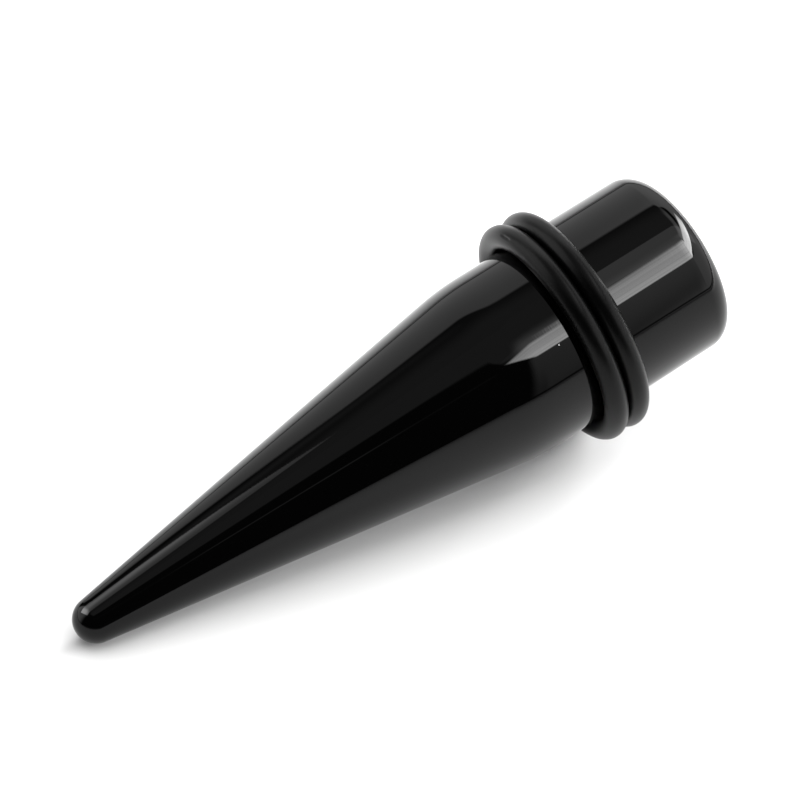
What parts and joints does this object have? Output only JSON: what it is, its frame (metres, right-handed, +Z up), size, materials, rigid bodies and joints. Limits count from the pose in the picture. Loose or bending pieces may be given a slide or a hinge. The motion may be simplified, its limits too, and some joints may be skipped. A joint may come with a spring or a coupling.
{
  "type": "ear stretching taper",
  "caption": "Blunt-tipped gloss cone widening to a straight shank with snug rubber rings, used to ease a healed ear piercing up to the shank's size, lying at rest.",
  "frame": {"origin": "on the surface the taper lies on, under the middle of its bounding box", "axes": "+Z up; +X from the tip towards the butt end, level, with the taper's own axis rising 10.3 degrees from +X towards +Z"},
  "size_m": [0.0708, 0.0238, 0.024],
  "materials": {
    "polished_acrylic": "polished black",
    "satin_rubber": "satin black"
  },
  "bodies": {
    "root": {"taper_body": "polished_acrylic", "front_o_ring": "satin_rubber", "rear_o_ring": "satin_rubber"}
  },
  "joints": []
}
